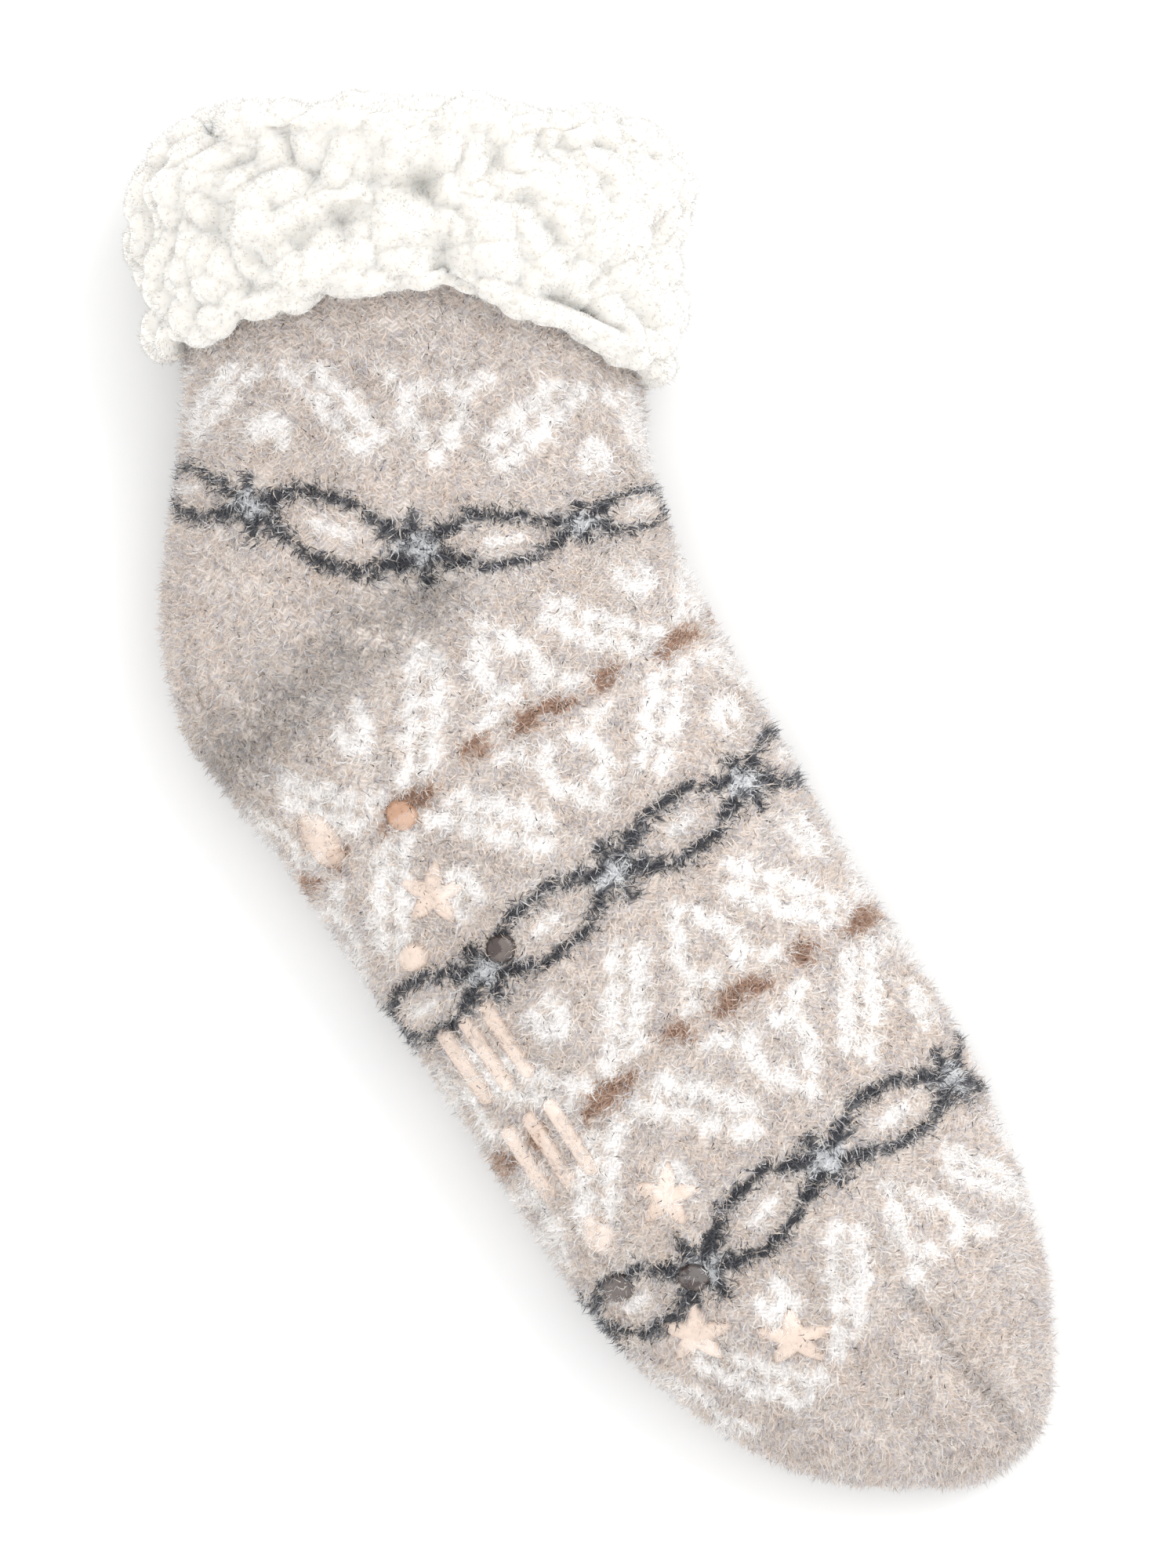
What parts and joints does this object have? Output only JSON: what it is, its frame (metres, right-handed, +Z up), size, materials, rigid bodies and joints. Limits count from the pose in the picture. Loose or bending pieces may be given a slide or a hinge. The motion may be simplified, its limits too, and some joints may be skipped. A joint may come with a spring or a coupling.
{
  "type": "slipper sock",
  "caption": "Fuzzy patterned knit slipper sock on its side, with a sherpa lining turned down as a cuff and silicone grips on the sole.",
  "frame": {"origin": "middle of the sock's box, on the floor that it lies on", "axes": "+X along the foot towards the toe, +Y towards the instep, +Z up out of the side that it lies on"},
  "size_m": [0.3444, 0.1636, 0.0671],
  "materials": {
    "knit": "matte",
    "sherpa": "matte",
    "silicone": "gloss"
  },
  "bodies": {
    "root": {"knit_sock": "knit", "sherpa_lining": "sherpa", "grip_oval_1": "silicone", "grip_oval_2": "silicone", "grip_oval_3": "silicone", "grip_oval_4": "silicone", "grip_dot_1": "silicone", "grip_dot_2": "silicone", "grip_dot_3": "silicone", "grip_dot_4": "silicone", "grip_dot_5": "silicone", "grip_dot_6": "silicone", "grip_dot_7": "silicone", "grip_star_1": "silicone", "grip_star_2": "silicone", "grip_star_3": "silicone", "grip_star_4": "silicone", "grip_bar_1": "silicone", "grip_bar_2": "silicone", "grip_bar_3": "silicone", "grip_bar_4": "silicone", "grip_bar_5": "silicone", "grip_bar_6": "silicone", "grip_bar_7": "silicone", "grip_bar_8": "silicone", "grip_bar_9": "silicone", "grip_bar_10": "silicone"}
  },
  "joints": []
}
